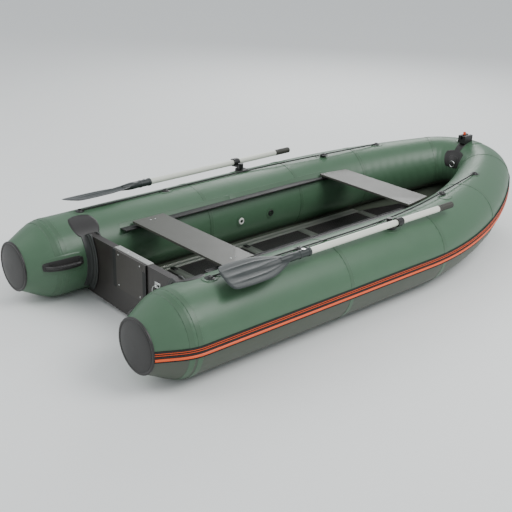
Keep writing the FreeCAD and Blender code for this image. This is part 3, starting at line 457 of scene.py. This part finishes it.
screws = [screw((TRANSOM_X - 8 * MM, y * MM, z * MM), (-1, 0, 0))
          for y in (-96, 96) for z in (182, 352)]
screws += [screw((TRANSOM_X + 42.3 * MM, y * MM, z * MM), (1, 0, 0)) for y in (-135, -45, 45, 135) for z in (212, 345)]
screws += [screw((TRANSOM_X + 20 * MM, y * MM, 374.4 * MM), (0, 0, 1)) for y in (-135, -45, 45, 135)]
piece("transom_screws", screws, STEEL)
y = -238 * MM
hoop = [Vector((-1301 * MM, y + 31 * MM * math.cos(t), (264 + 31 * math.sin(t)) * MM))
        for t in (2 * math.pi * k / 48 for k in range(48))]
rings = [pipe(hoop, 3.5 * MM, 14, closed=True),
         block((-1306 * MM, y - 10 * MM, 286 * MM), (-1292 * MM, y + 10 * MM, 304 * MM), 4 * MM),
         block((-1293 * MM, y - 24 * MM, 284 * MM), (-1291 * MM, y + 24 * MM, 312 * MM), 0.9 * MM)]
rings += [screw((-1293 * MM, y + k * 17 * MM, 298 * MM), (-1, 0, 0), 3.5 * MM) for k in (-1, 1)]
piece("transom_ring_plate", rings, STEEL, nodes=("transom_ring",))
corner = [block((-1301 * MM, y * MM - 15 * MM, 330 * MM), (-1290 * MM, y * MM + 15 * MM, 373 * MM), 5 * MM)
          for y in (-133,)]
piece("pad_corner_bracket", corner, PAD)

# ---- floor -------------------------------------------------------------------------------------
for number in range(1, 6):
    finish_node(f"floor_board_{number}", FLOOR, 0.8 * MM)
for number in range(1, 5):
    finish_node(f"cross_profile_{number}", ALUMINIUM, 0.7 * MM)
ribs = []
for place in (472, 1018, 1480, 2029):
    x = TRANSOM_X + place * MM
    ribs += [block((x + k * MM - 1.6 * MM, -0.272, 85.7 * MM), (x + k * MM + 1.6 * MM, 0.272, 87.2 * MM), 0.5 * MM)
             for k in (-24, -14, 14, 24)]
for sign in SIDES.values():
    finish_node("port_stringer" if sign > 0 else "starboard_stringer", ALUMINIUM, 0.8 * MM)
    for k in (280, 290, 318, 328):
        ribs.append(block((-1.182, sign * k * MM - 1.6 * MM, 85.7 * MM), (0.737, sign * k * MM + 1.6 * MM, 87.2 * MM),
                          0.5 * MM))
piece("profile_ribs", ribs, ALUMINIUM)
clips = [block(((TRANSOM_X + (place - 14) * MM), sign * 262 * MM - 20 * MM, 86 * MM),
               ((TRANSOM_X + (place + 14) * MM), sign * 262 * MM + 20 * MM, 93 * MM), 2.5 * MM)
         for place in (472, 1018) for sign in (1, -1)]
piece("floor_clips", clips, PLASTIC)

# ---- benches and rails -------------------------------------------------------------------------
for side in SIDES:
    finish_node(f"{side}_bench_rail", BLACK, 0.6 * MM)
for bench, x_mid, half in (("aft", -901 * MM, 347 * MM), ("forward", 475 * MM, 347 * MM)):
    name = f"{bench}_bench"
    finish_node(name, BOARD, 4 * MM)
    finish_node(f"{name}_sliders", PLASTIC, 1.2 * MM)
    low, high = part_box(f"{name}_sliders")
    heads = [screw(((low[0] + high[0]) / 2 + dx * MM, sign * 347 * MM, 381 * MM), (0, 0, 1), 5.5 * MM)
             for dx in (-16, 16) for sign in (1, -1)]
    piece(f"{name}_screws", heads, STEEL, body=name)
flaps = []
for side in SIDES:
    for start, end in ((208, 1000), (1000, 1806)):
        s = along(side, (start + end) / 2 * MM)
        flaps.append(patch(s, 141, (end - start) * MM, 60 * MM, 1.6 * MM, 0.02, steps=40))
piece("rail_flaps", flaps, TAPE)


# ---- oars --------------------------------------------------------------------------------------
OAR_Y, OAR_Z, LOCK_X = 680 * MM, 470 * MM, TRANSOM_X + 1266 * MM
for side, sign in SIDES.items():
    body = f"{side}_oar"
    end_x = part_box(f"{side}_oar_grip")[1][0]
    tip_x = end_x - 1690 * MM
    y = sign * OAR_Y
    finish_node(f"{side}_oar_shaft", SHAFT)
    grip_steps = [(0.01, 0), (12, 0), (17.5, 3), (18.5, 7)]
    for k in range(9):
        grip_steps += [(18.5, 12 + k * 11), (17.2, 14 + k * 11), (17.2, 17 + k * 11), (18.5, 19 + k * 11)]
    grip_steps += [(18.5, 121), (17.4, 125), (0.01, 125)]
    grip = turned([(r * MM, (125 - h) * MM) for r, h in grip_steps], (end_x - 125 * MM, y, OAR_Z), (1, 0, 0), 40)
    piece(f"{side}_oar_handle", [grip], GRIP, body=body, nodes=(f"{side}_oar_grip",))

    roll = Matrix.Rotation(math.radians(-sign * 12), 3, "X")
    LENGTH, WIDTH = 425 * MM, 98 * MM

    def blade_point(i, j, face, y=y, sign=sign, roll=roll, tip_x=tip_x):
        """The blade's face: a slanted tip, a hollow face and a rib that grows towards the neck."""
        u, v = i / 40, 2 * j / 30 - 1
        neck = max(0.0, (u - 0.56) / 0.44)
        wide = WIDTH * (1 - 0.8 * neck ** 1.5) * min(1.0, 0.93 + u * 1.2) * (0.94 + 0.06 * math.sin(u * 5))
        slant = 38 * MM * (1 - u) ** 6 * (v * sign * -0.5 + 0.5) * (1 if face else 1)
        x = u * LENGTH + slant * (1 - u)
        tip_round = 14 * MM * (1 - u) ** 8 * abs(v) ** 4
        dish = -7 * MM * (1 - v * v) * math.sin(math.pi * min(1, u + 0.12)) * (1 - neck)
        rib = (7 * MM + 7 * MM * neck) * math.exp(-(v * wide / (11 * MM)) ** 2) * min(1, u * 3)
        for line in (-0.52, 0.52):
            rib += 3 * MM * math.exp(-((v - line) * WIDTH / (5 * MM)) ** 2) * min(1, u * 4) * (1 - neck)
        edge = math.sqrt(max(0.0, 1 - max(abs(v), 1 - u * 12) ** 6))
        thick = (3.4 * MM + rib) * edge
        local = Vector((0, v * wide, dish * 0.5 + (thick if face else -thick)))
        return Vector((tip_x + x + tip_round, y, OAR_Z)) + roll @ local

    faces = [grid(41, 31, lambda i, j, face=face: blade_point(i, j, face), flip=bool(face)) for face in (0, 1)]
    neck_x = tip_x + LENGTH
    socket_steps = [(16, -60), (19, -30), (21, -8), (21.5, 6), (21.5, 30), (20.8, 31), (20.8, 60), (22.5, 62),
                    (22.5, 70), (20.8, 72), (20.8, 120), (23, 123), (23, 136), (21, 138), (17.6, 138)]
    socket = turned([(r * MM, h * MM) for r, h in socket_steps], (neck_x, y, OAR_Z), (1, 0, 0), 40)
    button = turned([(0.01, 3 * MM), (4 * MM, 3 * MM), (5 * MM, 0)], (neck_x + 96 * MM, y, OAR_Z + 20.2 * MM),
                    (0, 0, 1), 20)
    piece(f"{side}_blade_moulding", faces + [socket, button], [BLADE, BLADE, BLADE, STEEL],
          body=body, nodes=(f"{side}_oar_blade",))
    collar = turned([(17.6 * MM, 0), (20.5 * MM, 1 * MM), (20.5 * MM, 11 * MM), (17.6 * MM, 12 * MM)],
                    (LOCK_X + 19 * MM, y, OAR_Z), (1, 0, 0), 36)
    piece(f"{side}_oar_stop", [collar], PLASTIC, body=body)
    finish_node(f"{side}_oarlock", PLASTIC, 1.5 * MM)
    finish_node(f"{side}_oarlock_base", PLASTIC, 1.5 * MM)
    s = along(side, 1266 * MM)
    piece(f"{side}_lock_patch", [patch(s, 77, 150 * MM, 120 * MM, 2 * MM, 0.9),
                                 patch(s, 77, 96 * MM, 84 * MM, 2 * MM, 1.0, lift=2 * MM)], [TAPE, PLASTIC])

# ---- grab lines --------------------------------------------------------------------------------
knuckles = []
low_row, high_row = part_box("port_grab_line")
for side, sign in SIDES.items():
    finish_node(f"{side}_grab_line", ROPE)
LINE_S = [along("port", 60 * MM), along("port", 640 * MM)]
end_s = STRAIGHT + LONG_BEND * SHOULDER * 5 / 7
end_point = on_hull(end_s, 90, 5.5 * MM)
corner_point = Vector((BEND_X, OFFSET, 441.5 * MM))
third = (corner_point + end_point) / 2
third_s = STRAIGHT + LONG_BEND * math.asin((third.x - BEND_X) / LONG_BEND)
for s in LINE_S + [third_s, end_s]:
    for place in (s, 2 * HALF - s):
        knuckles.append(patch(place, 90, 90 * MM, 70 * MM, 1.8 * MM, 1.0))
piece("line_patches", knuckles, TAPE)
holders = []
for sign in SIDES.values():
    for place in (Vector((TRANSOM_X + 60 * MM, OFFSET, 436 * MM)), Vector((TRANSOM_X + 640 * MM, OFFSET, 436 * MM)),
                  third - Vector((0, 0, 5.5 * MM)), end_point - Vector((0, 0, 5.5 * MM))):
        origin = (place.x, sign * place.y, place.z)
        holders.append(turned([(26 * MM, -2 * MM), (26 * MM, 2 * MM), (23 * MM, 3.5 * MM), (17 * MM, 4 * MM),
                               (14.5 * MM, 8 * MM), (11 * MM, 11 * MM), (5 * MM, 12 * MM), (0.01, 12 * MM)],
                              origin, (0, 0, 1), 36))
piece("line_holder_domes", holders, PLASTIC, nodes=("line_holders",))


# ---- valves, handles and bow fittings ----------------------------------------------------------
def valve(side, place, colour_ring):
    """A screw valve on its welded flange."""
    s = along(side, place * MM)
    foot = on_hull(s, 180, 0)
    out = (0, -SIDES[side], 0)
    flange = turned([(34 * MM, -1 * MM), (34 * MM, 1.2 * MM), (30 * MM, 2.2 * MM), (21 * MM, 2.4 * MM)], foot, out)
    cap = turned([(21 * MM, 2 * MM), (20 * MM, 5.5 * MM), (18 * MM, 7 * MM), (13 * MM, 7 * MM), (12 * MM, 5.6 * MM),
                  (0.01, 5.6 * MM)], foot, out)
    bar = block((foot.x - 11 * MM, foot.y - 2 * MM, foot.z - 2 * MM), (foot.x + 11 * MM, foot.y + 2 * MM,
                                                                   foot.z + 2 * MM), 0.6 * MM)
    bar = ([p + Vector((0, -SIDES[side] * 5.6 * MM, 0)) for p in bar[0]], bar[1])
    return [(flange, TAPE), (cap, colour_ring), (bar, PLASTIC)]


parts = valve("port", 1288, PLASTIC) + valve("starboard", 1288, PLASTIC)
piece("air_valve_caps", [p[0] for p in parts], [p[1] for p in parts], nodes=("air_valves",))
parts = valve("port", 1046, WHITE)
piece("relief_valve_cap", [p[0] for p in parts], [p[1] for p in parts], nodes=("relief_valve",))

handles = []
for side, sign in SIDES.items():
    s = along(side, -171 * MM)
    handles.append((patch(s, 171, 232 * MM, 108 * MM, 2.4 * MM, 0.4), TAPE))
    handles.append((patch(s, 171, 205 * MM, 64 * MM, 2.2 * MM, 0.3, lift=2 * MM), CAP))
    path = []
    for k in range(41):
        t = k / 40
        lift = 38 * MM * min(1.0, math.sin(math.pi * t) * 2.6) ** 0.8 if 0 < t < 1 else 0.0
        step = (t - 0.5) * 186 * MM
        path.append(on_hull(s + step, 171, 3 * MM + lift))
    widths = [(9 + 1.2 * math.sin(k * 2.2) * (1 if 9 < k < 31 else 0)) * MM for k in range(41)]
    handles.append((pipe(path, widths, 18), CAP))
    for step in (-93, 93):
        handles.append((patch(s + step * MM, 171, 34 * MM, 46 * MM, 6 * MM, 0.6, lift=2 * MM, steps=14), CAP))
piece("carrying_handle_mouldings", [h[0] for h in handles], [h[1] for h in handles],
      nodes=("carrying_handles",))

finish_node("anchor_block", PLASTIC, 3 * MM)
low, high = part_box("anchor_knob")
knob = turned([(9 * MM, 0), (9 * MM, 9 * MM), (10 * MM, 10 * MM), (10 * MM, 13 * MM), (7 * MM, 16 * MM),
               (0.01, 16 * MM)], ((low[0] + high[0]) / 2, (low[1] + high[1]) / 2, low[2]), (0, 0, 1), 32)
piece("anchor_knob_head", [knob], KNOB, nodes=("anchor_knob",))
piece("bow_patches", [patch(HALF, 90, 150 * MM, 150 * MM, 2.2 * MM, 0.6),
                      patch(HALF, 160, 270 * MM, 128 * MM, 3 * MM, 0.7),
                      patch(HALF, 163, 140 * MM, 58 * MM, 4 * MM, 0.4, lift=2.6 * MM),
                      patch(HALF, 124, 66 * MM, 126 * MM, 3 * MM, 0.1)], [TAPE, CAP, CAP, CAP],
      nodes=("bow_strap",))
eye = on_hull(HALF, 166, 9 * MM)
hoop = [eye + Vector((0, 20 * MM * math.cos(t), -20 * MM + 20 * MM * math.sin(t)))
        for t in (2 * math.pi * k / 36 for k in range(36))]
piece("bow_ring_wire", [pipe(hoop, 3.5 * MM, 14, closed=True)], STEEL, nodes=("bow_ring",))

# ---- floor of the set, light and camera --------------------------------------------------------
ground = bpy.data.meshes.new("studio_floor")
ground.from_pydata([(-30, -30, 0), (30, -30, 0), (30, 30, 0), (-30, 30, 0)], [], [(0, 1, 2, 3)])
floor = bpy.data.objects.new("studio_floor", ground)
bpy.context.scene.collection.objects.link(floor)
paper = material("paper_backdrop_matt_white", "#eceeec", 0.9, grain=4, depth=0.0, mottle=0.0)
ground.materials.append(paper)
floor.location.z = -0.5 * MM

world = bpy.data.worlds.new("studio")
bpy.context.scene.world = world
world.use_nodes = True
world.node_tree.nodes["Background"].inputs["Color"].default_value = (0.93, 0.96, 1.0, 1)
world.node_tree.nodes["Background"].inputs["Strength"].default_value = 0.85


def lamp(name, place, size, power):
    """A soft panel aimed at the middle of the boat."""
    data = bpy.data.lights.new(name, "AREA")
    data.size = size
    data.energy = power
    made = bpy.data.objects.new(name, data)
    made.location = place
    made.rotation_euler = (Vector((0, 0, 0.2)) - Vector(place)).to_track_quat("-Z", "Y").to_euler()
    bpy.context.scene.collection.objects.link(made)


lamp("key", (1.0, -3.5, 4.6), 3.0, 210)
lamp("fill", (-4.5, 2.5, 3.2), 3.5, 90)
lamp("rim", (4.0, 3.5, 3.4), 2.5, 110)

back = Vector((-0.61634, -0.68588, 0.38690)).normalized()
azimuth = math.radians(-41.94)
right = Vector((math.cos(azimuth), math.sin(azimuth), 0))
up = back.cross(right)
roll = math.radians(1.52)
level_right = right * math.cos(roll) + up * math.sin(roll)
level_up = up * math.cos(roll) - right * math.sin(roll)
lens = bpy.data.cameras.new("camera")
lens.lens = 65.47
lens.sensor_width = 36
camera = bpy.data.objects.new("camera", lens)
camera.matrix_world = Matrix((
    (level_right.x, level_up.x, back.x, -3.7183),
    (level_right.y, level_up.y, back.y, -3.6573),
    (level_right.z, level_up.z, back.z, 2.2154),
    (0, 0, 0, 1)))
bpy.context.scene.collection.objects.link(camera)
bpy.context.scene.camera = camera
